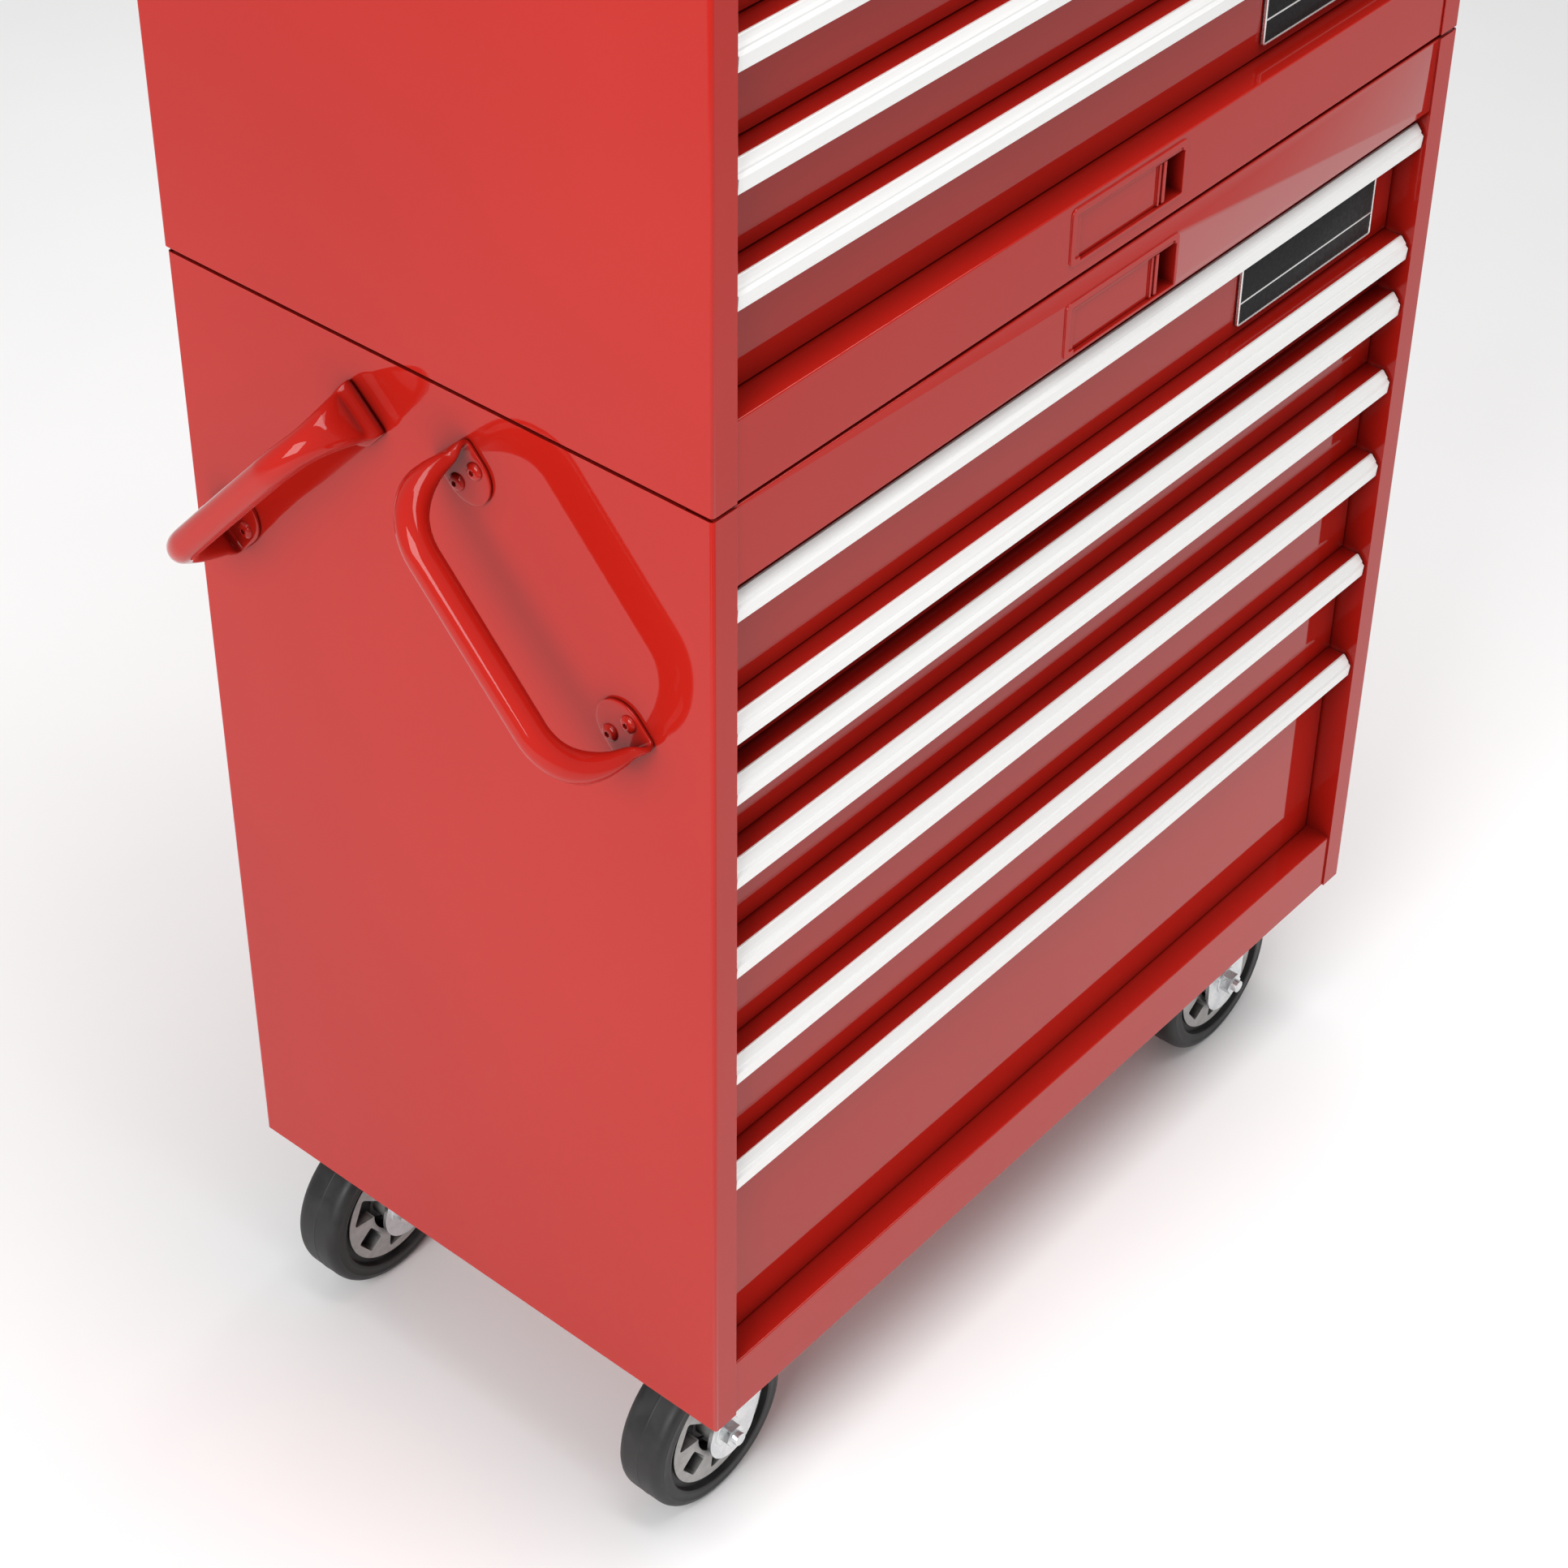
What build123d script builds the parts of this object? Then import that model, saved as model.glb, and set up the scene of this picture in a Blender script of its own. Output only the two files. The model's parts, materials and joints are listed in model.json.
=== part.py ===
from build123d import *
import os
from math import cos, radians, sin

# A rolling tool chest: a seven-drawer cabinet on four casters, with a four-drawer chest and its lid on top.
# Millimetres. +Z is up, the drawers open towards -Y, and the origin is on the floor, under the middle of the
# whole object's box. Inside this file, every place is counted from the cabinet's lower left front corner:
# x to the right, y to the back, z up.

os.makedirs("parts", exist_ok=True)

# ---------------------------------------------------------------- driving dimensions

WIDTH = 914
CABINET_DEPTH = 530
CHEST_DEPTH = 533
CABINET_HEIGHT = 902
CHEST_LOW = CABINET_HEIGHT + 3
CHEST_HIGH = 1378
LID_LOW = CHEST_HIGH + 2
LID_HIGH = LID_LOW + 30
SHEET = 1.5
DRAWER_SHEET = 1.2
BEND = 3

POST = 25
POST_RETURN = 34
RAIL_END = 3.5
FLANGE = 25
LEDGE = 45
TOP_RECESS = 8

CABINET_OPENING = (60, 836)
CHEST_OPENING = (969, 1334)
CABINET_SHELVES = (824, 718, 663, 585, 498, 390, 277)
CHEST_SHELVES = (1322, 1238, 1154, 1070)
DRAWER_GAP = 2

FACE_X = (POST + 3, WIDTH - POST - 3)
FACE_Y = 26
PAN_BACK = FACE_Y + 12
SHELF_Y = 11
HEM = 10
BOX_X = (41, WIDTH - 41)
BOX_BACK = 470
BOX_RISE = 6
BOX_DROP = 10

SLIDE_Y = (45, 468)
SLIDE_HALF = 16.2
RUNNER_HALF = 13.7

WHEEL_RADIUS = 81
WHEEL_WIDTH = 47
RIM_RADIUS = 56
RIM_INSET = 3.5
AXLE_DROP = 94.5
PLATE_LEVEL = 20
TRAIL = 39.5
CASTER_X = 107
CASTER_Y = (77, 466)
PLATE_SIZE = (102, 84)
PLATE_CORNER = 8
PLATE_THICKNESS = 4
BOLT_SPACING = (78, 60)
BOLT_HEAD = (6.5, 5)
RACE_DROP = 14
CROWN_DROP = (24, 29)
KING_PIN_RADIUS = 7
LEG_INNER = WHEEL_WIDTH / 2 + 2.5
LEG_THICKNESS = 4
LEG_TOP_WIDTH = 66
LEG_END_RADIUS = 28
LEG_END_OFFSET = (7.5, -6)
AXLE_RADIUS = 6
AXLE_NUT = (11, 10)
AXLE_HEAD = (11, 6)
AXLE_TIP = 15.5
HUB_RADIUS = 15
HUB_POCKET = (25, 12)
WINDOW_MIDDLE = 38.3
WINDOW_SHAPE = (29, 24, 75)
WINDOW_CORNER = 2.5
SLOT_SIZE = (18.5, 23)
SLOT_ANGLE = 96
GROOVE = (6, 6)

TUBE_RADIUS = 12.5
HANDLE_STANDOFF = 69
HANDLE_REACH = HANDLE_STANDOFF + TUBE_RADIUS

KNUCKLE_RADIUS = 4
PIN_RADIUS = 2
HINGE_Y = CHEST_DEPTH + KNUCKLE_RADIUS + 0.3
HINGE_Z = CHEST_HIGH + 1
KNUCKLE_X0 = 17
KNUCKLE_PITCH = 40
KNUCKLE_COUNT = 22

LOCK_X = (401, 527)
LOCK_HEIGHT = 36
CYLINDER_X = 480
CABINET_LOCK_Z = 840.5
CHEST_LOCK_Z = 919
SHUTTER_TRAVEL = 60
BEZEL_SIZE = (141, 47.5)
BEZEL_OFFSET = (-4.3, 3.2)
BEZEL_WIDTH = 5.5
BEZEL_RISE = 1.3
PLUG_RADIUS = 8
ROD_RADIUS = 3
CRANK_Y = (488, 491)
LOCK_BAR_X = (468, 492)
LOCK_BAR_Y = (494, 497)
LOCK_LIFT = 8

# Where the cabinet's lower left front corner is.
X_LEFT = (HANDLE_REACH - WIDTH) / 2
Y_FRONT = -(HINGE_Y + KNUCKLE_RADIUS) / 2
Z_BODY = AXLE_DROP + WHEEL_RADIUS


# ---------------------------------------------------------------- places and small helpers


def level(z):
    """The horizontal plane at height z: local x to the right, local y to the back."""
    return Plane(origin=(X_LEFT, Y_FRONT, Z_BODY + z))


def facing(y):
    """The upright plane at depth y, with its normal to the front: local x to the right, local y up."""
    return Plane(origin=(X_LEFT, Y_FRONT + y, Z_BODY), x_dir=(1, 0, 0), z_dir=(0, -1, 0))


def across(x):
    """The upright plane at x, with its normal to the right: local x to the back, local y up."""
    return Plane(origin=(X_LEFT + x, Y_FRONT, Z_BODY), x_dir=(0, 1, 0), z_dir=(1, 0, 0))


def slab(x, y, z, mode=Mode.ADD):
    """A box from its limits along x, y and z."""
    centre = (X_LEFT + sum(x) / 2, Y_FRONT + sum(y) / 2, Z_BODY + sum(z) / 2)
    with Locations(centre):
        Box(x[1] - x[0], y[1] - y[0], z[1] - z[0], mode=mode)


def both_sides(x, y, z, mode=Mode.ADD):
    """A slab on the left and its mirror image on the right."""
    slab(x, y, z, mode)
    slab((WIDTH - x[1], WIDTH - x[0]), y, z, mode)


def save(builder, name):
    builder.part.label = name
    export_step(builder.part, f"parts/{name}.step")


# ---------------------------------------------------------------- handle places

HANDLE_TILT = 47
HANDLE_PLACES = {"front_side_handle": (155, 765, HANDLE_TILT), "rear_side_handle": (408, 765, 180 - HANDLE_TILT)}
HANDLE_END = 120
TUBE_BEND = 50
PAD_WIDTH = 46
PAD_THICKNESS = 3.5
PAD_INNER = 80
PAD_CREASE = 128
SCREW_S = 103
SCREW_SPREAD = 12.2
SCREW_RADIUS = 3
SCREW_HEAD_RADIUS = 7.2
SCREW_HEAD_HEIGHT = 3.6


def handle_plane(name):
    """On the left panel's outer face: local x along the handle, local y away from the panel."""
    y, z, angle = HANDLE_PLACES[name]
    along = (0, cos(radians(angle)), sin(radians(angle)))
    normal = (0, -sin(radians(angle)), cos(radians(angle)))
    return Plane(origin=(X_LEFT, Y_FRONT + y, Z_BODY + z), x_dir=along, z_dir=normal)


def pad_plane(name, height):
    """Parallel to the left panel at a height above it: local x along the handle, normal to the left."""
    frame = handle_plane(name)
    return Plane(origin=frame.from_local_coords((0, height, 0)), x_dir=frame.x_dir, z_dir=(-1, 0, 0))


SCREW_POINTS = [(end * SCREW_S, side * SCREW_SPREAD) for end in (-1, 1) for side in (-1, 1)]


# ---------------------------------------------------------------- fixed sheet-metal work


def wrap(name, depth, low, high, opening):
    """One sheet folded round the back and both sides, ending in the two front posts."""
    with BuildPart() as shell:
        with BuildSketch(level(low)):
            with Locations((WIDTH / 2, depth / 2)):
                RectangleRounded(WIDTH, depth, BEND)
                RectangleRounded(WIDTH - 2 * SHEET, depth - 2 * SHEET, BEND - SHEET, mode=Mode.SUBTRACT)
            with Locations((WIDTH / 2, 0)):
                Rectangle(WIDTH - 2 * POST, 4 * SHEET, mode=Mode.SUBTRACT)
        extrude(amount=high - low)
        both_sides((POST - SHEET, POST), (0, POST_RETURN), opening)
        if name == "cabinet_shell":
            for handle in HANDLE_PLACES:
                with BuildSketch(pad_plane(handle, 0)):
                    with Locations(*SCREW_POINTS):
                        Circle(SCREW_RADIUS + 0.3)
                extrude(amount=-2 * SHEET, mode=Mode.SUBTRACT)
    save(shell, name)


def rail(name, low, high, lower_flange, upper_flange, lock_z=None):
    """A front rail: an upright skin with a flange turned back along each edge, and maybe a lock pocket."""
    front = SHEET
    back = 2 * SHEET
    ends = (RAIL_END, WIDTH - RAIL_END)
    with BuildPart() as bar:
        slab(ends, (front, back), (low, high))
        slab(ends, (front, lower_flange), (low, low + SHEET))
        slab(ends, (front, upper_flange), (high - SHEET, high))
        fillet(bar.edges().filter_by(Axis.X).group_by(Axis.Y)[0], radius=SHEET - 0.3)
        if lock_z is not None:
            top = lock_z + LOCK_HEIGHT
            wall = 1.2
            lip_height = 3
            slot_back = back + 2.4
            pocket_back = 24
            guide_end = LOCK_X[0] - SHUTTER_TRAVEL - 5
            with BuildSketch(facing(front)):
                with Locations((sum(LOCK_X) / 2 + BEZEL_OFFSET[0], (lock_z + top) / 2 + BEZEL_OFFSET[1])):
                    RectangleRounded(*BEZEL_SIZE, 5)
                    RectangleRounded(*[size - 2 * BEZEL_WIDTH for size in BEZEL_SIZE], 1.5, mode=Mode.SUBTRACT)
            extrude(amount=BEZEL_RISE)
            slab(LOCK_X, (-1, back), (lock_z, top), Mode.SUBTRACT)
            edges = (
                ((lock_z - wall, lock_z), (lock_z, lock_z + lip_height)),
                ((top, top + wall), (top - lip_height, top)),
            )
            for z, lip in edges:
                slab((LOCK_X[0] - wall, LOCK_X[1] + wall), (back, pocket_back), z)
                slab((guide_end, LOCK_X[0] - wall), (back, slot_back + wall), z)
                slab((guide_end, LOCK_X[0] - wall), (slot_back, slot_back + wall), lip)
            slab((LOCK_X[1], LOCK_X[1] + wall), (back, pocket_back), (lock_z, top))
            slab((LOCK_X[0] - wall, LOCK_X[0]), (slot_back, pocket_back), (lock_z, top))
            slab(LOCK_X, (pocket_back - wall, pocket_back), (lock_z, top))
            with BuildSketch(facing(pocket_back)):
                with Locations((CYLINDER_X, lock_z + LOCK_HEIGHT / 2)):
                    Circle(PLUG_RADIUS + 0.05)
            extrude(amount=2 * wall, mode=Mode.SUBTRACT)
    save(bar, name)


def tray(name, depth, rim, recess, inset_x, inset_y):
    """A sheet whose middle is pressed down by recess, reaching the walls with a flat rim."""
    inner_x = (inset_x, WIDTH - inset_x)
    inner_y = (inset_y, depth - inset_y)
    outer_x = (SHEET, WIDTH - SHEET)
    outer_y = (FLANGE, depth - 4)
    with BuildPart() as pan:
        slab(outer_x, outer_y, (rim - recess - SHEET, rim))
        slab(inner_x, inner_y, (rim - recess, rim), Mode.SUBTRACT)
        hollow_x = (inset_x - SHEET, WIDTH - inset_x + SHEET)
        hollow_y = (inset_y - SHEET, depth - inset_y + SHEET)
        below = (rim - recess - SHEET, rim - SHEET)
        slab(outer_x, (outer_y[0], hollow_y[0]), below, Mode.SUBTRACT)
        slab(outer_x, (hollow_y[1], outer_y[1]), below, Mode.SUBTRACT)
        slab((outer_x[0], hollow_x[0]), outer_y, below, Mode.SUBTRACT)
        slab((hollow_x[1], outer_x[1]), outer_y, below, Mode.SUBTRACT)
    save(pan, name)


def cabinet_base():
    """The floor pan that carries the casters, with its edges turned down inside the wrap."""
    floor_top = PLATE_LEVEL + 2.5
    outer_y = (2 * SHEET, CABINET_DEPTH - 4)
    with BuildPart() as base:
        slab((SHEET, WIDTH - SHEET), outer_y, (SHEET, floor_top))
        slab((2 * SHEET, WIDTH - 2 * SHEET), (3 * SHEET, CABINET_DEPTH - 5.5), (0, PLATE_LEVEL), Mode.SUBTRACT)
        # The bottom rail's lower flange fills this corner.
        slab((0, WIDTH), (0, FLANGE), (0, SHEET), Mode.SUBTRACT)
    save(base, "cabinet_base")


def chest_till():
    """The open tray under the lid."""
    low = CHEST_OPENING[1] + SHEET + 1
    high = CHEST_HIGH - 2 * SHEET
    x = (POST + 3, WIDTH - POST - 3)
    y = (FACE_Y, CHEST_DEPTH - 20)
    with BuildPart() as till:
        slab(x, y, (low, high))
        slab((x[0] + SHEET, x[1] - SHEET), (y[0] + SHEET, y[1] - SHEET), (low + SHEET, high), Mode.SUBTRACT)
        both_sides((SHEET, x[0]), (POST_RETURN + 1, y[1]), (high - SHEET, high))
    save(till, "chest_till")


def slide_frames():
    """Uprights on the side walls, the fixed slide channels that they carry, and the lock-bar guides."""
    units = (
        (CABINET_SHELVES, CABINET_OPENING, (PLATE_LEVEL + 2.5, CABINET_HEIGHT - TOP_RECESS - SHEET)),
        (CHEST_SHELVES, CHEST_OPENING, (CHEST_LOW + SHEET, CHEST_OPENING[1])),
    )
    with BuildPart() as frames:
        for shelves, opening, upright in units:
            for y in ((60, 90), (420, 450)):
                both_sides((26.5, 28), y, upright)
                both_sides((SHEET, 26.5), (y[0], y[0] + SHEET), upright)
                both_sides((SHEET, 26.5), (y[1] - SHEET, y[1]), upright)
            for low, top in drawer_spans(shelves, opening):
                middle = box_middle(low, top)
                both_sides((28, 29.2), SLIDE_Y, (middle - SLIDE_HALF, middle + SLIDE_HALF))
                both_sides((29.2, 37), SLIDE_Y, (middle - SLIDE_HALF, middle - SLIDE_HALF + 1.2))
                both_sides((29.2, 37), SLIDE_Y, (middle + SLIDE_HALF - 1.2, middle + SLIDE_HALF))
        for z, back in ((110, CABINET_DEPTH), (780, CABINET_DEPTH), (1000, CHEST_DEPTH), (1290, CHEST_DEPTH)):
            for x in ((LOCK_BAR_X[0] - 2, LOCK_BAR_X[0] - 0.5), (LOCK_BAR_X[1] + 0.5, LOCK_BAR_X[1] + 2)):
                slab(x, (LOCK_BAR_Y[0] - 1, back - SHEET), (z, z + 12))
            strap_y = (LOCK_BAR_Y[1] + 0.5, LOCK_BAR_Y[1] + 2)
            slab((LOCK_BAR_X[0] - 2, LOCK_BAR_X[1] + 2), strap_y, (z, z + 12))
    save(frames, "slide_frames")


# ---------------------------------------------------------------- drawers


def drawer_spans(shelves, opening):
    """The lower edge and the shelf height of each drawer front, from the top drawer down."""
    lows = [shelf + DRAWER_GAP for shelf in shelves[1:]] + [opening[0] + DRAWER_GAP]
    return list(zip(lows, shelves))


def box_middle(low, top):
    return (low + BOX_RISE + top - BOX_DROP) / 2


def drawer(name, low, top):
    """A folded front pan with a shelf along its top, a box behind it, and a runner on each side."""
    box_low = low + BOX_RISE
    box_high = top - BOX_DROP
    skin = DRAWER_SHEET
    box_y = (FACE_Y + skin, BOX_BACK)
    with BuildPart() as body:
        slab(FACE_X, (FACE_Y, FACE_Y + skin), (low, top))
        slab(FACE_X, (FACE_Y, PAN_BACK), (low, low + skin))
        both_sides((FACE_X[0], FACE_X[0] + skin), (FACE_Y, PAN_BACK), (low, top))
        slab(FACE_X, (SHELF_Y, PAN_BACK), (top - skin, top))
        slab(FACE_X, (SHELF_Y, SHELF_Y + skin), (top - HEM, top))
        fillet(body.edges().filter_by(Axis.X).group_by(Axis.Y)[0].sort_by(Axis.Z)[-1], radius=0.8)
        slab(BOX_X, box_y, (box_low, box_low + skin))
        both_sides((BOX_X[0], BOX_X[0] + skin), box_y, (box_low, box_high))
        slab(BOX_X, (BOX_BACK - skin, BOX_BACK), (box_low, box_high))
        catch_y = BOX_BACK + 14
        slab(LOCK_BAR_X, (BOX_BACK, catch_y + skin), (box_low, box_low + skin))
        slab(LOCK_BAR_X, (catch_y, catch_y + skin), (box_low - 9, box_low))
        middle = box_middle(low, top)
        web = (BOX_X[0] - 0.1 - skin, BOX_X[0] - 0.1)
        both_sides(web, SLIDE_Y, (middle - RUNNER_HALF, middle + RUNNER_HALF))
        both_sides((31, web[0]), SLIDE_Y, (middle - RUNNER_HALF, middle - RUNNER_HALF + skin))
        both_sides((31, web[0]), SLIDE_Y, (middle + RUNNER_HALF - skin, middle + RUNNER_HALF))
    save(body, name)


PULL_OUTLINE = (
    (11, 0),
    (9.2, 0),
    (4.4, -5.6),
    (4.4, -7.2),
    (2, -9.4),
    (3, -20.5),
    (4.8, -20.5),
    (4.0, -10.4),
    (6.2, -8.0),
    (6.2, -6.2),
    (9.3, -2.6),
    (9.3, -9),
    (11, -9),
)


def pull(name, top):
    """The full-width extruded pull in front of a drawer's shelf, with a grooved face and an open back."""
    with BuildPart() as extrusion:
        with BuildSketch(across(FACE_X[0])):
            with BuildLine():
                FilletPolyline(*[(y, top + z) for y, z in PULL_OUTLINE], radius=0.4, close=True)
            make_face()
        extrude(amount=FACE_X[1] - FACE_X[0])
    save(extrusion, name)


def badge(name, x, z):
    """A plain plate with a raised border and one raised divider, standing on a drawer's face."""
    size = (x[1] - x[0], z[1] - z[0])
    centre = (sum(x) / 2, sum(z) / 2)
    border = 2.2
    with BuildPart() as plate:
        with BuildSketch(facing(FACE_Y)):
            with Locations(centre):
                RectangleRounded(*size, 2.5)
        extrude(amount=2.8)
        with BuildSketch(facing(FACE_Y - 2.8)):
            with Locations(centre):
                RectangleRounded(*size, 2.5)
                RectangleRounded(size[0] - 2 * border, size[1] - 2 * border, 1.2, mode=Mode.SUBTRACT)
            with Locations((centre[0], z[0] + 21)):
                Rectangle(size[0] - border, 1.6)
        extrude(amount=0.9)
    save(plate, name)


# ---------------------------------------------------------------- locks


def lock_shutter(name, lock_z):
    """The sliding cover in front of the lock, with two grip ribs at its right end."""
    z = (lock_z + 0.5, lock_z + LOCK_HEIGHT - 0.5)
    with BuildPart() as shutter:
        slab((LOCK_X[0] + 0.5, 506.5), (3.4, 4.9), z)
        for x in ((497, 499.5), (502.5, 506.5)):
            slab(x, (1.6, 3.4), z)
        fillet(shutter.edges().filter_by(Axis.Z).group_by(Axis.Y)[0], radius=0.6)
    save(shutter, name)


def crank_pin(lock_z):
    """The crank pin's centre at rest, 45 degrees below the cylinder's axis."""
    middle = lock_z + LOCK_HEIGHT / 2
    return (CYLINDER_X + LOCK_LIFT / 2, middle - LOCK_LIFT / 2)


def lock_cylinder(name, lock_z):
    """A keyed plug with its long torque rod and the crank that lifts the lock bar."""
    middle = lock_z + LOCK_HEIGHT / 2
    with BuildPart() as cylinder:
        steps = ((9.5, 20.4, 22.5), (PLUG_RADIUS, 22.5, 44), (ROD_RADIUS, 44, CRANK_Y[0]))
        for radius, front, back in steps:
            with BuildSketch(facing(front)):
                with Locations((CYLINDER_X, middle)):
                    Circle(radius)
            extrude(amount=front - back)
        with BuildSketch(facing(CRANK_Y[0])):
            with Locations((CYLINDER_X, middle)):
                Circle(5)
            with Locations(crank_pin(lock_z)):
                Circle(4)
            make_hull()
        extrude(amount=CRANK_Y[0] - CRANK_Y[1])
        with BuildSketch(facing(CRANK_Y[1])):
            with Locations(crank_pin(lock_z)):
                Circle(2)
        extrude(amount=-8)
        slab((CYLINDER_X - 0.8, CYLINDER_X + 0.8), (20, 26), (middle - 4.5, middle + 4.5), Mode.SUBTRACT)
    save(cylinder, name)


def lock_bar(name, shelves, opening, lock_z):
    """The upright bar behind the drawers, with one hook under each drawer's catch."""
    spans = drawer_spans(shelves, opening)
    box_lows = [low + BOX_RISE for low, _ in spans]
    middle = lock_z + LOCK_HEIGHT / 2
    heights = (min([middle] + [low - 24 for low in box_lows]), max([middle] + box_lows))
    with BuildPart() as bar:
        slab(LOCK_BAR_X, LOCK_BAR_Y, (heights[0] - 14, heights[1] + 14))
        for low in box_lows:
            slab(LOCK_BAR_X, (477, LOCK_BAR_Y[0]), (low - 22, low - 20))
            slab(LOCK_BAR_X, (477, 479), (low - 20, low - 10))
        slot = (CYLINDER_X + 1.5, CYLINDER_X + 8.3)
        pin_z = crank_pin(lock_z)[1]
        slab(slot, (LOCK_BAR_Y[0] - 1, LOCK_BAR_Y[1] + 1), (pin_z - 2.4, pin_z + 2.4), Mode.SUBTRACT)
    save(bar, name)


# ---------------------------------------------------------------- casters


def caster_level(x, y, drop):
    """A horizontal plane below a caster's mounting face, with its origin on the caster's upright axis."""
    return Plane(origin=(X_LEFT + x, Y_FRONT + y, Z_BODY + PLATE_LEVEL - drop))


def hub(x, y, radius, high, low, mode=Mode.ADD):
    """A round boss on a caster's upright axis, from high to low below the mounting face."""
    with Locations((X_LEFT + x, Y_FRONT + y, Z_BODY + PLATE_LEVEL - (high + low) / 2)):
        Cylinder(radius, low - high, mode=mode)


def swivel_plates():
    """The two left casters' plates, each with its bolts, upper race, king pin and nut."""
    with BuildPart() as plates:
        for y in CASTER_Y:
            with BuildSketch(caster_level(CASTER_X, y, 0)):
                RectangleRounded(*PLATE_SIZE, PLATE_CORNER)
            extrude(amount=-PLATE_THICKNESS)
            with BuildSketch(caster_level(CASTER_X, y, PLATE_THICKNESS)):
                with GridLocations(*BOLT_SPACING, 2, 2):
                    RegularPolygon(BOLT_HEAD[0], 6)
            extrude(amount=-BOLT_HEAD[1])
            hub(CASTER_X, y, 29, PLATE_THICKNESS, RACE_DROP)
            hub(CASTER_X, y, KING_PIN_RADIUS, RACE_DROP, 30)
            hub(CASTER_X, y, 11, CROWN_DROP[1] + 0.3, 36)
    save(plates, "swivel_plates")


def fork(name, x, y, wheel_x, swivels):
    """Two broad tapering legs under a crown or a plate, with the axle bolt, its head and its nut."""
    axle = (wheel_x, -AXLE_DROP)
    leg_end = (wheel_x + LEG_END_OFFSET[0] * swivels, LEG_END_OFFSET[1] - AXLE_DROP)
    outer = LEG_INNER + LEG_THICKNESS
    high, low = CROWN_DROP if swivels else (0, PLATE_THICKNESS)
    shoulder = (x, PLATE_LEVEL - (high + low) / 2)
    with BuildPart() as body:
        for side in (-1, 1):
            with BuildSketch(facing(y + side * outer)):
                with Locations(shoulder):
                    Rectangle(LEG_TOP_WIDTH, low - high)
                with Locations(leg_end):
                    Circle(LEG_END_RADIUS)
                make_hull()
            extrude(amount=side * LEG_THICKNESS)
        if swivels:
            with BuildSketch(caster_level(x, y, high)):
                Rectangle(LEG_TOP_WIDTH, 2 * outer)
            extrude(amount=high - low)
            hub(x, y, 31, RACE_DROP + 0.3, high)
            hub(x, y, KING_PIN_RADIUS + 0.06, RACE_DROP, low + 1, Mode.SUBTRACT)
        else:
            with BuildSketch(caster_level(x, y, 0)):
                RectangleRounded(*PLATE_SIZE, PLATE_CORNER)
            extrude(amount=-low)
            with BuildSketch(caster_level(x, y, low)):
                with GridLocations(*BOLT_SPACING, 2, 2):
                    RegularPolygon(BOLT_HEAD[0], 6)
            extrude(amount=-BOLT_HEAD[1])
        with BuildSketch(facing(y - outer - AXLE_TIP)):
            with Locations(axle):
                Circle(AXLE_RADIUS)
        extrude(amount=-2 * outer - AXLE_TIP)
        for side, (radius, length) in ((-1, AXLE_NUT), (1, AXLE_HEAD)):
            with BuildSketch(facing(y + side * outer)):
                with Locations(axle):
                    RegularPolygon(radius, 6)
            extrude(amount=-side * length)
    save(body, name)


def rim(name, y, wheel_x):
    """A one-piece wheel centre: a hub in a round pocket, three slots and three open windows, and a rim ring."""
    axle = (wheel_x, -AXLE_DROP)
    half = WHEEL_WIDTH / 2
    face = half - RIM_INSET
    with BuildPart() as wheel:
        with BuildSketch(facing(y - face)):
            with Locations(axle):
                Circle(RIM_RADIUS)
        extrude(amount=-2 * face)
        for side in (-1, 1):
            with BuildSketch(facing(y + side * face)):
                with Locations(axle):
                    Circle(HUB_POCKET[0])
                    Circle(HUB_RADIUS, mode=Mode.SUBTRACT)
            extrude(amount=side * HUB_POCKET[1], mode=Mode.SUBTRACT)
        with BuildSketch(facing(y - half)) as windows:
            with Locations(axle):
                with PolarLocations(WINDOW_MIDDLE, 3, start_angle=SLOT_ANGLE):
                    Rectangle(*SLOT_SIZE)
                with PolarLocations(WINDOW_MIDDLE - 3, 3, start_angle=SLOT_ANGLE + 60):
                    Trapezoid(*WINDOW_SHAPE, rotation=90)
            fillet(windows.vertices(), radius=WINDOW_CORNER)
        extrude(amount=-WHEEL_WIDTH, mode=Mode.SUBTRACT)
        with BuildSketch(facing(y - LEG_INNER + 0.5)):
            with Locations(axle):
                Circle(HUB_RADIUS)
        extrude(amount=-2 * (LEG_INNER - 0.5))
        with BuildSketch(facing(y - LEG_INNER)):
            with Locations(axle):
                Circle(AXLE_RADIUS + 0.06)
        extrude(amount=-2 * LEG_INNER, mode=Mode.SUBTRACT)
    save(wheel, name)


def tyre(name, y, wheel_x):
    """A solid rubber tyre with round shoulders and a hollow beside the rim."""
    centre = Plane(origin=(X_LEFT + wheel_x, Y_FRONT + y, Z_BODY - AXLE_DROP), x_dir=(1, 0, 0), z_dir=(0, 0, 1))
    half = WHEEL_WIDTH / 2
    with BuildPart() as ring:
        with BuildSketch(centre) as section:
            with Locations(((RIM_RADIUS + WHEEL_RADIUS) / 2, 0)):
                Rectangle(WHEEL_RADIUS - RIM_RADIUS, WHEEL_WIDTH)
            fillet(section.vertices().group_by(Axis.X)[-1], radius=8)
            for side in (-1, 1):
                with Locations((RIM_RADIUS, side * half)):
                    Rectangle(2 * GROOVE[0], 2 * GROOVE[1], mode=Mode.SUBTRACT)
        revolve(axis=Axis(centre.origin, (0, 1, 0)))
    save(ring, name)


# ---------------------------------------------------------------- side handles


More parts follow.
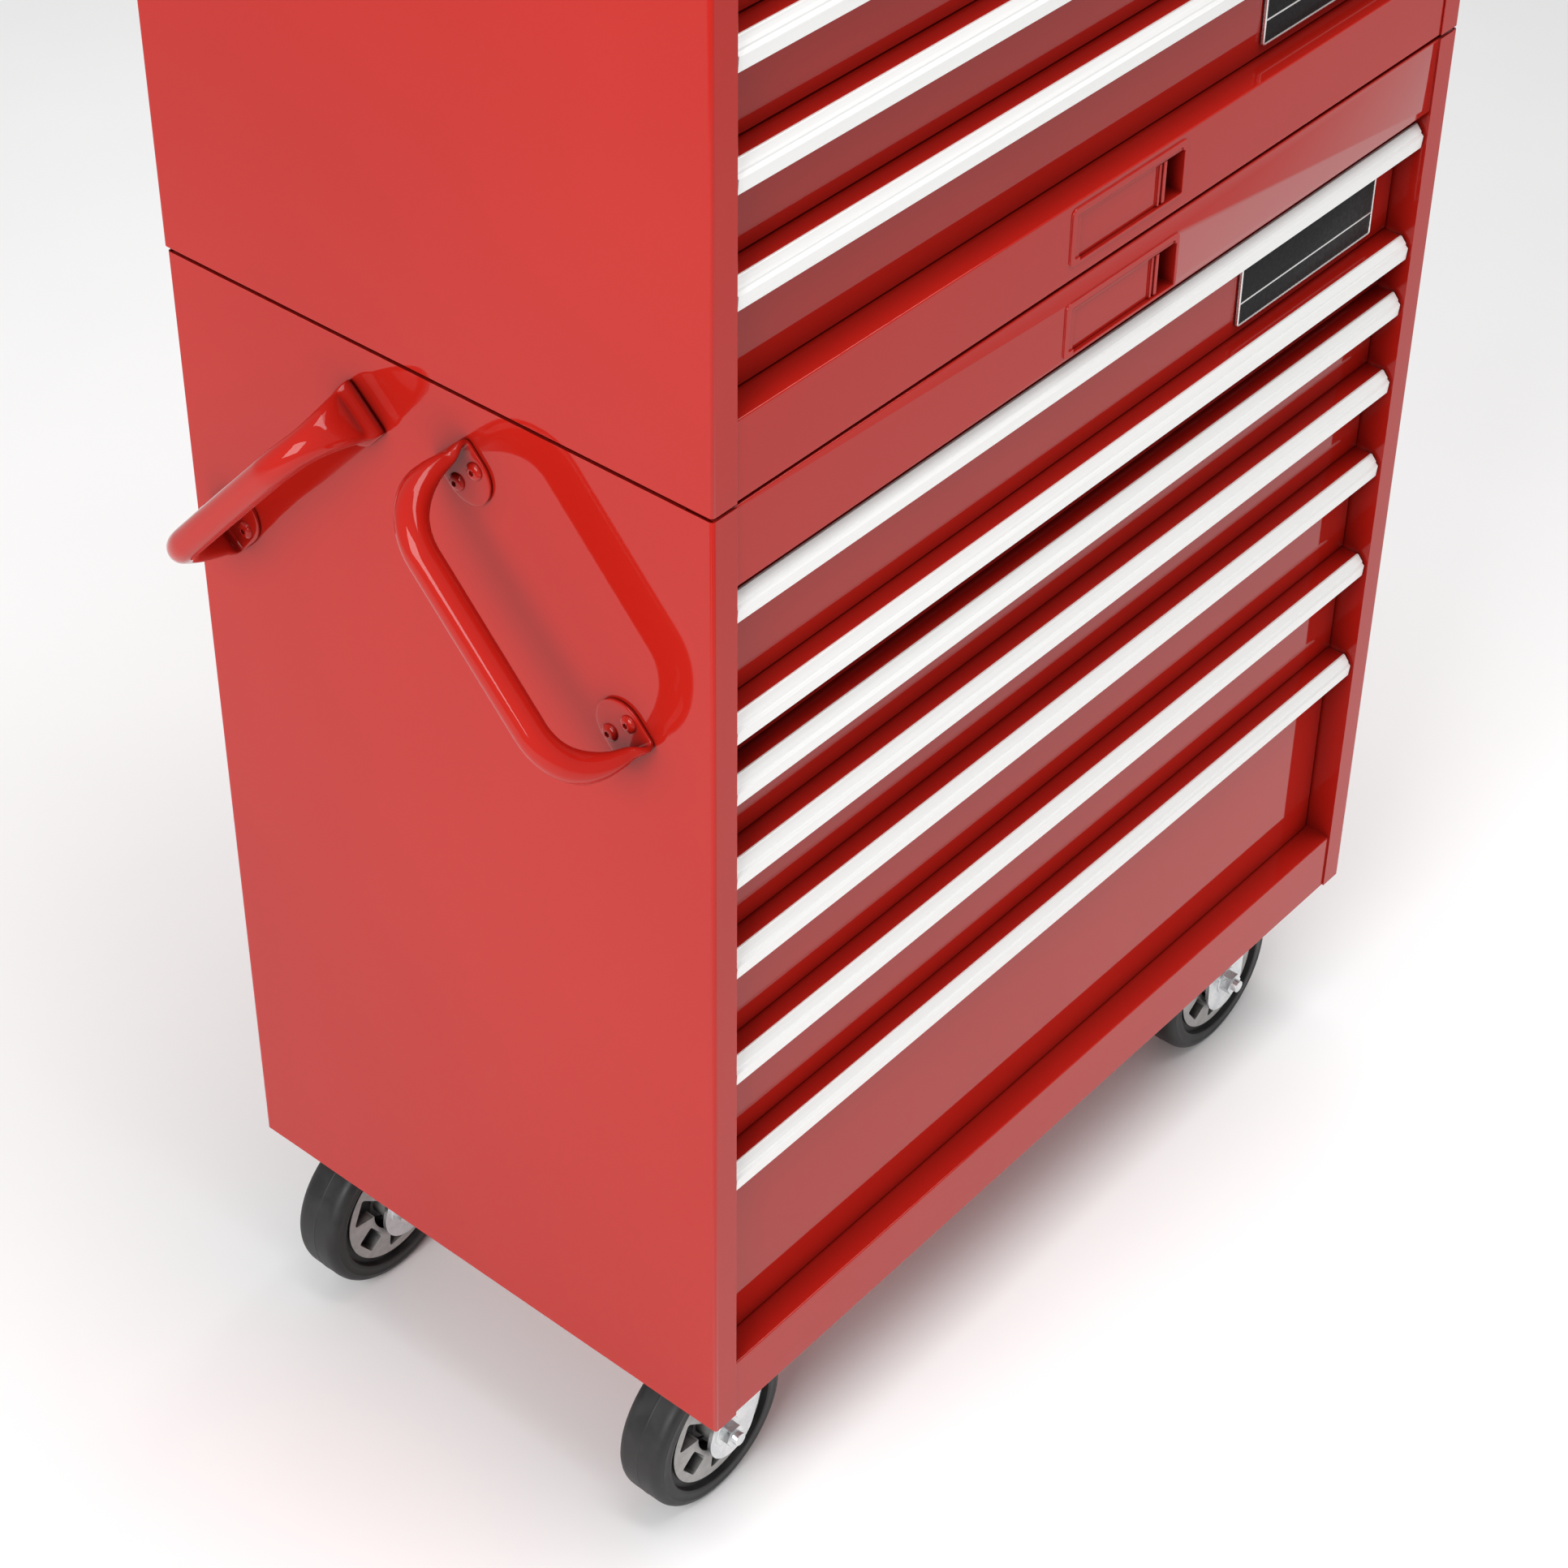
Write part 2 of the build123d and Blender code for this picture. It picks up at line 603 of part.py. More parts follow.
def side_handle(name):
    """A bent tube whose pressed-flat ends are folded inward into two screwed pads."""
    frame = handle_plane(name)
    with BuildPart() as handle:
        with BuildLine(frame) as path:
            straight = HANDLE_END - TUBE_BEND
            foot = HANDLE_STANDOFF - TUBE_BEND
            Line((-HANDLE_END, foot - 1), (-HANDLE_END, foot))
            RadiusArc((-HANDLE_END, foot), (-straight, HANDLE_STANDOFF), TUBE_BEND)
            Line((-straight, HANDLE_STANDOFF), (straight, HANDLE_STANDOFF))
            RadiusArc((straight, HANDLE_STANDOFF), (HANDLE_END, foot), TUBE_BEND)
            Line((HANDLE_END, foot), (HANDLE_END, foot - 1))
        spine = path.wires()[0]
        with BuildSketch(spine ^ 0):
            Circle(TUBE_RADIUS)
        sweep(path=spine)
        for end in (-1, 1):
            with BuildSketch(pad_plane(name, foot - 1)):
                with Locations((end * HANDLE_END, 0)):
                    Circle(TUBE_RADIUS)
            with BuildSketch(pad_plane(name, PAD_THICKNESS / 2)):
                with Locations((end * (PAD_CREASE - 4.5), 0)):
                    Ellipse(4.5, PAD_WIDTH / 2 - 1)
            loft()
            with BuildSketch(pad_plane(name, 0)):
                with Locations((end * (PAD_CREASE + PAD_INNER + 8) / 2, 0)):
                    Rectangle(PAD_CREASE - PAD_INNER - 8, PAD_WIDTH)
                with Locations((end * (PAD_INNER + PAD_WIDTH / 2), 0)):
                    Circle(PAD_WIDTH / 2)
                with Locations(*SCREW_POINTS):
                    Circle(SCREW_RADIUS + 0.3, mode=Mode.SUBTRACT)
            extrude(amount=PAD_THICKNESS)
    save(handle, name)


def handle_screws():
    """The eight button-head screws that hold the two side handles."""
    with BuildPart() as screws:
        for name in HANDLE_PLACES:
            with BuildSketch(pad_plane(name, -6)):
                with Locations(*SCREW_POINTS):
                    Circle(SCREW_RADIUS)
            extrude(amount=6 + PAD_THICKNESS)
            with BuildSketch(pad_plane(name, PAD_THICKNESS)):
                with Locations(*SCREW_POINTS):
                    Circle(SCREW_HEAD_RADIUS)
            extrude(amount=SCREW_HEAD_HEIGHT, taper=35)
            with BuildSketch(pad_plane(name, PAD_THICKNESS + SCREW_HEAD_HEIGHT)):
                with Locations(*SCREW_POINTS):
                    RegularPolygon(2, 6)
            extrude(amount=-2, mode=Mode.SUBTRACT)
    save(screws, "handle_screws")


# ---------------------------------------------------------------- lid and hinge


def lid():
    """A shallow pan turned upside down over the till."""
    with BuildPart() as pan:
        with BuildSketch(level(LID_LOW)):
            with Locations((WIDTH / 2, CHEST_DEPTH / 2)):
                RectangleRounded(WIDTH, CHEST_DEPTH, BEND)
        extrude(amount=LID_HIGH - LID_LOW)
        fillet(pan.edges().group_by(Axis.Z)[-1], radius=BEND - 0.1)
        with BuildSketch(level(LID_LOW)):
            with Locations((WIDTH / 2, CHEST_DEPTH / 2)):
                RectangleRounded(WIDTH - 2 * SHEET, CHEST_DEPTH - 2 * SHEET, BEND - SHEET)
        extrude(amount=LID_HIGH - LID_LOW - SHEET, mode=Mode.SUBTRACT)
    save(pan, "chest_lid")


def hinge_leaf(name, first_knuckle, plate_z, with_pin):
    """One leaf of the lid's piano hinge, with every second knuckle of the row."""
    bore = PIN_RADIUS if with_pin else PIN_RADIUS + 0.06
    axis_point = (HINGE_Y, HINGE_Z)
    tab_z = sorted((HINGE_Z, plate_z[1] if plate_z[0] < HINGE_Z else plate_z[0]))
    with BuildPart() as leaf:
        slab((KNUCKLE_X0, KNUCKLE_X0 + KNUCKLE_COUNT * KNUCKLE_PITCH), (CHEST_DEPTH, CHEST_DEPTH + SHEET), plate_z)
        for index in range(first_knuckle, KNUCKLE_COUNT, 2):
            x = KNUCKLE_X0 + index * KNUCKLE_PITCH + 0.2
            slab((x, x + KNUCKLE_PITCH - 0.4), (CHEST_DEPTH, CHEST_DEPTH + SHEET), tab_z)
            with BuildSketch(across(x)):
                with Locations(axis_point):
                    Circle(KNUCKLE_RADIUS)
            extrude(amount=KNUCKLE_PITCH - 0.4)
            with BuildSketch(across(x - 1)):
                with Locations(axis_point):
                    Circle(bore)
            extrude(amount=KNUCKLE_PITCH + 1.6, mode=Mode.SUBTRACT)
        if with_pin:
            with BuildSketch(across(KNUCKLE_X0)):
                with Locations(axis_point):
                    Circle(PIN_RADIUS)
            extrude(amount=KNUCKLE_COUNT * KNUCKLE_PITCH)
    save(leaf, name)


# ---------------------------------------------------------------- the whole object

wrap("cabinet_shell", CABINET_DEPTH, 0, CABINET_HEIGHT, CABINET_OPENING)
wrap("chest_shell", CHEST_DEPTH, CHEST_LOW, CHEST_HIGH, CHEST_OPENING)
rail("cabinet_bottom_rail", 0, CABINET_OPENING[0], FLANGE, LEDGE)
rail("cabinet_top_rail", CABINET_OPENING[1], CABINET_HEIGHT, FLANGE, FLANGE, CABINET_LOCK_Z)
rail("chest_bottom_rail", CHEST_LOW, CHEST_OPENING[0], FLANGE, LEDGE, CHEST_LOCK_Z)
rail("chest_top_rail", CHEST_OPENING[1], CHEST_HIGH, FLANGE, FLANGE)
cabinet_base()
tray("cabinet_top", CABINET_DEPTH, CABINET_HEIGHT, TOP_RECESS, 32, 30)
tray("chest_base", CHEST_DEPTH, CHEST_LOW + SHEET, CHEST_LOW - CABINET_HEIGHT + TOP_RECESS, 38, 36)
chest_till()
slide_frames()
for number, (low, top) in enumerate(drawer_spans(CABINET_SHELVES, CABINET_OPENING), 1):
    drawer(f"cabinet_drawer_{number}", low, top)
    pull(f"cabinet_pull_{number}", top)
for number, (low, top) in enumerate(drawer_spans(CHEST_SHELVES, CHEST_OPENING), 1):
    drawer(f"chest_drawer_{number}", low, top)
    pull(f"chest_pull_{number}", top)
badge("cabinet_badge", (661, 855), (729, 795))
badge("chest_badge", (656, 850), (980, 1046))
for unit, lock_z in (("cabinet", CABINET_LOCK_Z), ("chest", CHEST_LOCK_Z)):
    lock_shutter(f"{unit}_lock_shutter", lock_z)
    lock_cylinder(f"{unit}_lock_cylinder", lock_z)
lock_bar("cabinet_lock_bar", CABINET_SHELVES, CABINET_OPENING, CABINET_LOCK_Z)
lock_bar("chest_lock_bar", CHEST_SHELVES, CHEST_OPENING, CHEST_LOCK_Z)
swivel_plates()
for row, y in zip(("front", "rear"), CASTER_Y):
    for hand, x, wheel_x in (("left", CASTER_X, CASTER_X - TRAIL), ("right", WIDTH - CASTER_X, WIDTH - CASTER_X)):
        fork(f"{hand}_{row}_fork", x, y, wheel_x, hand == "left")
        rim(f"{hand}_{row}_rim", y, wheel_x)
        tyre(f"{hand}_{row}_tyre", y, wheel_x)
for name in HANDLE_PLACES:
    side_handle(name)
handle_screws()
lid()
hinge_leaf("chest_hinge_leaf", 0, (HINGE_Z - 26, HINGE_Z - KNUCKLE_RADIUS - 0.6), True)
hinge_leaf("lid_hinge_leaf", 1, (HINGE_Z + KNUCKLE_RADIUS + 0.6, HINGE_Z + 26), False)
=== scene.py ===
import json
from math import cos, pi, radians, sin

import bmesh
import bpy
from mathutils import Matrix, Vector


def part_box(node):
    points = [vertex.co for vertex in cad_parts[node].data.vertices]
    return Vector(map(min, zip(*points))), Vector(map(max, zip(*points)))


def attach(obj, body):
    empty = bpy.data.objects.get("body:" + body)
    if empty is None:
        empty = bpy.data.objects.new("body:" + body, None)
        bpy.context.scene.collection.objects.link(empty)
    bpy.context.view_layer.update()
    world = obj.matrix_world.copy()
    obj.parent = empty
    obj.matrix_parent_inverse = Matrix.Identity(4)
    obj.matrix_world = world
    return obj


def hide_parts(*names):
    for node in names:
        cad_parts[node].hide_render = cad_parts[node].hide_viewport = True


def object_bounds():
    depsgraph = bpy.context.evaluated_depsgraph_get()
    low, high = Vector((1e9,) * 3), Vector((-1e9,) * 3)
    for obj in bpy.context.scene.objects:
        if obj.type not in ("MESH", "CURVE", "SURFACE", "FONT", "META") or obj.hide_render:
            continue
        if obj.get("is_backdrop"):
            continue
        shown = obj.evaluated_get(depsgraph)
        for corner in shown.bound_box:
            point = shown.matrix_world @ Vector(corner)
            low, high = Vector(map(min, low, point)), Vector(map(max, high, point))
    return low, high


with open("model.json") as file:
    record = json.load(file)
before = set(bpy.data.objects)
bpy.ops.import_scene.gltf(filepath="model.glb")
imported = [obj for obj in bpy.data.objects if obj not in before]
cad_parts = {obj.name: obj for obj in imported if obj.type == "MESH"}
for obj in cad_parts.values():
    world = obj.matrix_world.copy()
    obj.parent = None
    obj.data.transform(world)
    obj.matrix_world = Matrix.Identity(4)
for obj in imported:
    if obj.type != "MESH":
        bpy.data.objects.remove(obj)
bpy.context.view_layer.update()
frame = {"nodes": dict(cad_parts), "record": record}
nodes = frame["nodes"]
scene = bpy.context.scene
scene.view_settings.view_transform = "Standard"

# ---------------------------------------------------------------- materials


class Surface:
    """A Principled material that is built up node by node."""

    def __init__(self, name, **settings):
        self.material = bpy.data.materials.new(name)
        self.material.use_nodes = True
        self.tree = self.material.node_tree
        self.shader = self.tree.nodes["Principled BSDF"]
        for socket, value in settings.items():
            self.shader.inputs[socket.replace("_", " ")].default_value = value
        self.place = self.node("ShaderNodeTexCoord").outputs["Object"]

    def node(self, kind, **settings):
        made = self.tree.nodes.new(kind)
        for name, value in settings.items():
            setattr(made, name, value)
        return made

    def link(self, source, target):
        self.tree.links.new(source, target)

    def set(self, socket, source):
        self.link(source, self.shader.inputs[socket])

    def stretched(self, x, y, z):
        """The object's coordinates, scaled along each axis."""
        mapping = self.node("ShaderNodeMapping")
        mapping.inputs["Scale"].default_value = (x, y, z)
        self.link(self.place, mapping.inputs["Vector"])
        return mapping.outputs["Vector"]

    def noise(self, scale, detail=4.0, roughness=0.55, place=None, distortion=0.0):
        made = self.node("ShaderNodeTexNoise")
        made.inputs["Scale"].default_value = scale
        made.inputs["Detail"].default_value = detail
        made.inputs["Roughness"].default_value = roughness
        made.inputs["Distortion"].default_value = distortion
        self.link(place or self.place, made.inputs["Vector"])
        return made.outputs["Fac"]

    def spread(self, value, low, high, from_low=0.3, from_high=0.7, smooth=False):
        """A value mapped to the range from low to high."""
        made = self.node("ShaderNodeMapRange")
        if smooth:
            made.interpolation_type = "SMOOTHSTEP"
        for socket, number in (
            ("From Min", from_low), ("From Max", from_high), ("To Min", low), ("To Max", high),
        ):
            made.inputs[socket].default_value = number
        self.link(value, made.inputs["Value"])
        return made.outputs["Result"]

    def math(self, operation, a, b):
        made = self.node("ShaderNodeMath", operation=operation)
        for socket, value in zip(made.inputs, (a, b)):
            if isinstance(value, (int, float)):
                socket.default_value = value
            else:
                self.link(value, socket)
        return made.outputs["Value"]

    def mix(self, share, a, b):
        """Colour a where share is 0 and colour b where it is 1."""
        made = self.node("ShaderNodeMix", data_type="RGBA")
        self.link(share, made.inputs["Factor"])
        for socket, value in ((made.inputs[6], a), (made.inputs[7], b)):
            if isinstance(value, tuple):
                socket.default_value = (*value, 1.0)
            else:
                self.link(value, socket)
        return made.outputs[2]

    def edges(self, radius):
        """How far the surface turns within the radius: 0 on a flat, 1 on a sharp edge."""
        bevel = self.node("ShaderNodeBevel", samples=4)
        bevel.inputs["Radius"].default_value = radius
        dot = self.node("ShaderNodeVectorMath", operation="DOT_PRODUCT")
        self.link(bevel.outputs["Normal"], dot.inputs[0])
        self.link(self.node("ShaderNodeNewGeometry").outputs["Normal"], dot.inputs[1])
        return self.spread(dot.outputs["Value"], 1.0, 0.0, 0.72, 0.97)

    def shade_occlusion(self, reach):
        """How open the surface is: 1 on an open face, towards 0 in a deep corner; colours mixed by it
        paint shade.
        """
        occlusion = self.node("ShaderNodeAmbientOcclusion", samples=4)
        occlusion.inputs["Distance"].default_value = reach
        return occlusion.outputs["AO"]

    def bump(self, height, distance, strength=1.0, below=None):
        made = self.node("ShaderNodeBump")
        made.inputs["Strength"].default_value = strength
        made.inputs["Distance"].default_value = distance
        self.link(height, made.inputs["Height"])
        if below is not None:
            self.link(below, made.inputs["Normal"])
        return made.outputs["Normal"]


RED, RED_BRIGHTER, RED_SPECK = (0.40, 0.011, 0.006), (0.44, 0.014, 0.008), (0.34, 0.007, 0.008)
# The second of these colours is painted shade for corners, recesses and gaps between parts.
RED_WEAR_AND_HIGHLIGHT, RED_PAINTED_SHADE = (0.80, 0.09, 0.08), (0.05, 0.001, 0.001)


def red_paint():
    s = Surface("red_paint", Coat_Weight=1.0, Coat_Roughness=0.035, Coat_IOR=1.34, Roughness=0.42)
    s.shader.inputs["Specular IOR Level"].default_value = 0.0
    broad = s.spread(s.noise(2.2, 3.0), 0.0, 1.0)
    red = s.mix(broad, RED, RED_BRIGHTER)
    fine = s.spread(s.noise(900.0, 2.0), 0.0, 0.10)
    red = s.mix(fine, red, RED_SPECK)
    # Lighter red on the edges: partly wear, and partly a painted highlight where rounded edges would
    # catch the light.
    wear_and_highlight = s.math("MULTIPLY", s.edges(0.0012), s.spread(s.noise(60.0, 3.0), 0.0, 0.55, 0.40, 0.65))
    red = s.mix(wear_and_highlight, red, RED_WEAR_AND_HIGHLIGHT)
    # Painted shade: the red turns near black where ambient occlusion finds corners, recesses and gaps
    # between parts.
    red = s.mix(s.spread(s.shade_occlusion(0.055), 0.85, 0.0, 0.15, 0.85), red, RED_PAINTED_SHADE)
    s.set("Base Color", red)
    s.set("Roughness", s.spread(s.noise(35.0, 4.0), 0.36, 0.48))
    peel = s.bump(s.noise(260.0, 1.0, 0.4), 0.00002, 0.5)
    s.set("Normal", s.bump(s.noise(9.0, 1.0, 0.4), 0.0006, 0.25, peel))
    return s.material


def satin_aluminium():
    s = Surface("satin_aluminium", Metallic=0.3, Roughness=0.36, Anisotropic=0.4)
    streaks = s.noise(1.0, 5.0, 0.65, s.stretched(4.0, 1600.0, 1600.0))
    tone = s.mix(s.spread(streaks, 0.0, 1.0), (0.85, 0.85, 0.835), (0.91, 0.91, 0.90))
    s.set("Base Color", tone)
    s.set("Roughness", s.spread(streaks, 0.28, 0.42))
    s.set("Normal", s.bump(streaks, 0.00001, 0.5))
    return s.material


def zinc():
    s = Surface("zinc", Metallic=1.0, Roughness=0.3)
    cloud = s.noise(70.0, 5.0, 0.6)
    tone = s.mix(s.spread(cloud, 0.0, 1.0), (0.60, 0.63, 0.65), (0.80, 0.81, 0.81))
    s.set("Base Color", tone)
    s.set("Roughness", s.spread(s.noise(220.0, 4.0), 0.22, 0.42))
    s.set("Normal", s.bump(s.noise(900.0, 2.0), 0.00003, 0.4))
    return s.material


def wheel_grey():
    s = Surface("wheel_grey", Metallic=0.35, Roughness=0.42)
    grey = s.mix(s.spread(s.noise(120.0, 4.0), 0.0, 1.0), (0.34, 0.33, 0.32), (0.44, 0.43, 0.42))
    # Painted shade: the grey turns near black deep in the wheel windows and behind the fork leg, where
    # ambient occlusion finds little room.
    window_shade = s.spread(s.shade_occlusion(0.018), 1.0, 0.0, 0.40, 0.78)
    s.set("Base Color", s.mix(window_shade, grey, (0.008, 0.008, 0.008)))
    s.set("Roughness", s.spread(s.noise(300.0, 3.0), 0.36, 0.52))
    s.set("Normal", s.bump(s.noise(1400.0, 2.0), 0.00003, 0.5))
    return s.material


def tyre_rubber():
    s = Surface("tyre", Roughness=0.55)
    s.shader.inputs["Specular IOR Level"].default_value = 0.45
    dust = s.spread(s.noise(45.0, 6.0, 0.65), 0.0, 1.0, 0.42, 0.68)
    s.set("Base Color", s.mix(dust, (0.009, 0.009, 0.0095), (0.024, 0.0235, 0.023)))
    s.set("Roughness", s.spread(dust, 0.46, 0.64, 0.0, 1.0))
    s.set("Normal", s.bump(s.noise(1500.0, 3.0), 0.00008, 0.6))
    return s.material


def silver():
    s = Surface("silver", Metallic=0.9, Roughness=0.25)
    cloud = s.spread(s.noise(300.0, 4.0), 0.0, 1.0)
    s.set("Base Color", s.mix(cloud, (0.72, 0.72, 0.71), (0.84, 0.84, 0.83)))
    s.set("Roughness", s.spread(s.noise(500.0, 3.0), 0.2, 0.34))
    return s.material


def badge_black():
    s = Surface("badge", Roughness=0.5)
    s.shader.inputs["Specular IOR Level"].default_value = 0.2
    cloud = s.spread(s.noise(400.0, 3.0), 0.0, 1.0)
    s.set("Base Color", s.mix(cloud, (0.006, 0.006, 0.007), (0.014, 0.014, 0.015)))
    s.set("Roughness", s.spread(s.noise(250.0, 4.0), 0.42, 0.6))
    s.set("Normal", s.bump(s.noise(2500.0, 2.0), 0.00004, 0.4))
    return s.material


MATERIALS = {
    "red_paint": red_paint(),
    "satin_aluminium": satin_aluminium(),
    "zinc": zinc(),
    "wheel_grey": wheel_grey(),
    "tyre": tyre_rubber(),
    "badge": badge_black(),
    "silver": silver(),
}
for node in nodes.values():
    for material_slot in node.material_slots:
        material_slot.material = MATERIALS[material_slot.material.name.split(".")[0]]

# ---------------------------------------------------------------- mesh helpers

MM = 0.001
SMOOTH_ANGLE = radians(32)
SAME_POINT = 2e-6
SAME_PLANE = radians(0.4)


def keep(name, mesh, material, body, stands_for=None):
    """A finished bmesh as a piece of the object, smooth but for its sharp edges."""
    bmesh.ops.recalc_face_normals(mesh, faces=mesh.faces)
    for edge in mesh.edges:
        edge.smooth = edge.calc_face_angle(0.0) < SMOOTH_ANGLE
    for face in mesh.faces:
        face.smooth = True
    data = bpy.data.meshes.new(name)
    mesh.to_mesh(data)
    mesh.free()
    data.materials.append(MATERIALS[material])
    made = bpy.data.objects.new(name, data)
    scene.collection.objects.link(made)
    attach(made, body)
    if stands_for:
        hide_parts(stands_for)
    return made


def skin(rings, closed_path=False, capped=True):
    """A bmesh through rings that all have the same number of points."""
    mesh = bmesh.new()
    rows = [[mesh.verts.new(point) for point in ring] for ring in rings]
    count = len(rows[0])
    pairs = list(zip(rows, rows[1:]))
    if closed_path:
        pairs.append((rows[-1], rows[0]))
    for near, far in pairs:
        for i in range(count):
            j = (i + 1) % count
            mesh.faces.new((near[i], near[j], far[j], far[i]))
    if capped and not closed_path:
        mesh.faces.new(rows[0])
        mesh.faces.new(reversed(rows[-1]))
    return mesh


def soften(node, width):
    """Rounds a CAD node's sharp edges; its own mesh stays as it is."""
    weld = node.modifiers.new("weld", "WELD")
    weld.merge_threshold = SAME_POINT
    flat = node.modifiers.new("flat", "DECIMATE")
    flat.decimate_type = "DISSOLVE"
    flat.angle_limit = SAME_PLANE
    rounding = node.modifiers.new("rounding", "BEVEL")
    rounding.width = width
    rounding.segments = 2
    rounding.limit_method = "ANGLE"
    rounding.angle_limit = SMOOTH_ANGLE
    rounding.harden_normals = True


def body_of(node_name):
    bodies = frame["record"]["behaviour"]["bodies"]
    return next(name for name, members in bodies.items() if node_name in members)


def box_of(node_name):
    low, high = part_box(node_name)
    return Vector(low), Vector(high)


# ---------------------------------------------------------------- tyres

# (depth below the tread, distance from the middle plane), in mm, from the bore to the mould line.
TYRE_SIDE = (
    (25.0, 17.5), (19.2, 17.5), (18.9, 18.2), (18.4, 22.6), (17.6, 23.3), (16.4, 23.4),
    (15.9, 23.5), (15.1, 23.5), (14.6, 23.35), (9.4, 23.3), (9.0, 23.45), (8.4, 23.45),
    (8.0, 23.2), (6.2, 22.8), (4.4, 22.0), (2.9, 20.8), (1.7, 19.2), (0.9, 17.4),
    (0.45, 15.4), (0.3, 13.0), (0.3, 1.3), (0.25, 0.8), (0.0, 0.35),
)
TYRE_STEPS = 120

for node_name in nodes:
    if not node_name.endswith("_tyre"):
        continue
    low, high = box_of(node_name)
    centre = (low + high) / 2
    tread = (high.z - low.z) / 2
    profile = [(tread - depth * MM, half * MM) for depth, half in TYRE_SIDE]
    profile += [(radius, -half) for radius, half in reversed(profile)]
    rings = []
    for step in range(TYRE_STEPS):
        turn = 2 * pi * step / TYRE_STEPS
        rings.append([
            centre + Vector((radius * cos(turn), half, radius * sin(turn))) for radius, half in profile
        ])
    rubber = skin(rings, closed_path=True)
    keep(f"{node_name}_rubber", rubber, "tyre", body_of(node_name), node_name)

# ---------------------------------------------------------------- near-black discs that paint shade in the wheel windows, axle washers

LATHE_STEPS = 64


def lathe(profile, centre):
    """A closed profile of (radius, offset along Y), in mm, turned about the Y axis through centre."""
    rings = []
    for step in range(LATHE_STEPS):
        turn = 2 * pi * step / LATHE_STEPS
        rings.append([centre + MM * Vector((r * cos(turn), y, r * sin(turn))) for r, y in profile])
    return skin(rings, closed_path=True)


# Both profiles are (radius, offset along the axle), in mm; the washer's offset is from the leg.
# A near-black disc inside each rim that fills the wheel windows with painted shade.
SHADE_DISC = ((20, -9), (20, 9), (50, 9), (50, -9))
LEG_FACE = 30
WASHER = ((6.3, 0.0), (14.0, 0.0), (14.0, 1.1), (13.6, 1.5), (6.3, 1.5))

for node_name in nodes:
    if not node_name.endswith("_rim"):
        continue
    wheel = body_of(node_name)
    low, high = box_of(node_name)
    centre = (low + high) / 2
    keep(f"{node_name}_shade_disc", lathe(SHADE_DISC, centre), "tyre", wheel)
    fork_name = node_name.replace("_rim", "_fork")
    washer = [(radius, -LEG_FACE - height) for radius, height in WASHER]
    keep(f"{fork_name}_washer", lathe(washer, centre), "zinc", body_of(fork_name))

# ---------------------------------------------------------------- side handles

HANDLE_TILT = {"front_side_handle": radians(47), "rear_side_handle": radians(133)}
# In mm: the tube's radius, the grip's height over the panel, the legs' distance from the middle,
# the bends' radius, and the folded pad: where it starts, half its width and half its thickness.
TUBE = 12.5
STANDOFF = 69
LEG_AT = 120
BEND = 50
PAD = (80, 23, 1.75)
CREASE = 124.4
FOLD = 4.2
GRIP_STATION = 35
FOLD_EXTRA = 1.0
PAD_LEAD = 8
TIP_WIDTH = 2.2
BEND_STEPS, LEG_STEPS, FOLD_STEPS, PAD_STEPS = 18, 6, 5, 12
ROUND_POINTS = 7
SQUEEZE_POWER = 1.4
SQUARENESS = 0.62
SECTION_STEPS = 40


def ease(t):
    t = min(max(t, 0.0), 1.0)
    return t * t * (3 - 2 * t)


def half_handle():
    """Sections from the middle of the grip to the tip of one pad.

    Each is (along, away, half width, half thickness, how square the section is from 0 to 1).
    """
    inner, pad_half, pad_thin = PAD
    stations = [(along, STANDOFF, TUBE, TUBE, 0.0) for along in (0, GRIP_STATION)]
    bend_x = LEG_AT - BEND
    foot = STANDOFF - BEND
    points = []
    for step in range(BEND_STEPS + 1):
        turn = pi / 2 * step / BEND_STEPS
        points.append((bend_x + BEND * sin(turn), foot + BEND * cos(turn)))
    top = pad_thin + FOLD
    for step in range(1, LEG_STEPS + 1):
        share = step / LEG_STEPS
        points.append((LEG_AT + (CREASE - LEG_AT) * ease(share), foot + (top - foot) * share))
    for index, (along, away) in enumerate(points):
        flat = ease((index - ROUND_POINTS) / (len(points) - 1 - ROUND_POINTS))
        width = TUBE + (pad_half - TUBE) * flat
        thin = TUBE + (pad_thin + FOLD_EXTRA - TUBE) * flat ** SQUEEZE_POWER
        stations.append((along, away, width, thin, flat))
    for step in range(1, FOLD_STEPS + 1):
        turn = pi / 2 * step / FOLD_STEPS
        along = CREASE - FOLD * (1 - cos(turn))
        thin = pad_thin + FOLD_EXTRA - step / FOLD_STEPS
        stations.append((along, top - FOLD * sin(turn), pad_half, thin, 1.0))
    middle = inner + pad_half
    stations.append((middle + PAD_LEAD, pad_thin, pad_half, pad_thin, 1.0))
    for step in range(PAD_STEPS + 1):
        turn = pi / 2 * step / PAD_STEPS
        reach = middle - pad_half * sin(turn)
        stations.append((reach, pad_thin, max(pad_half * cos(turn), TIP_WIDTH), pad_thin, 1.0))
    return stations


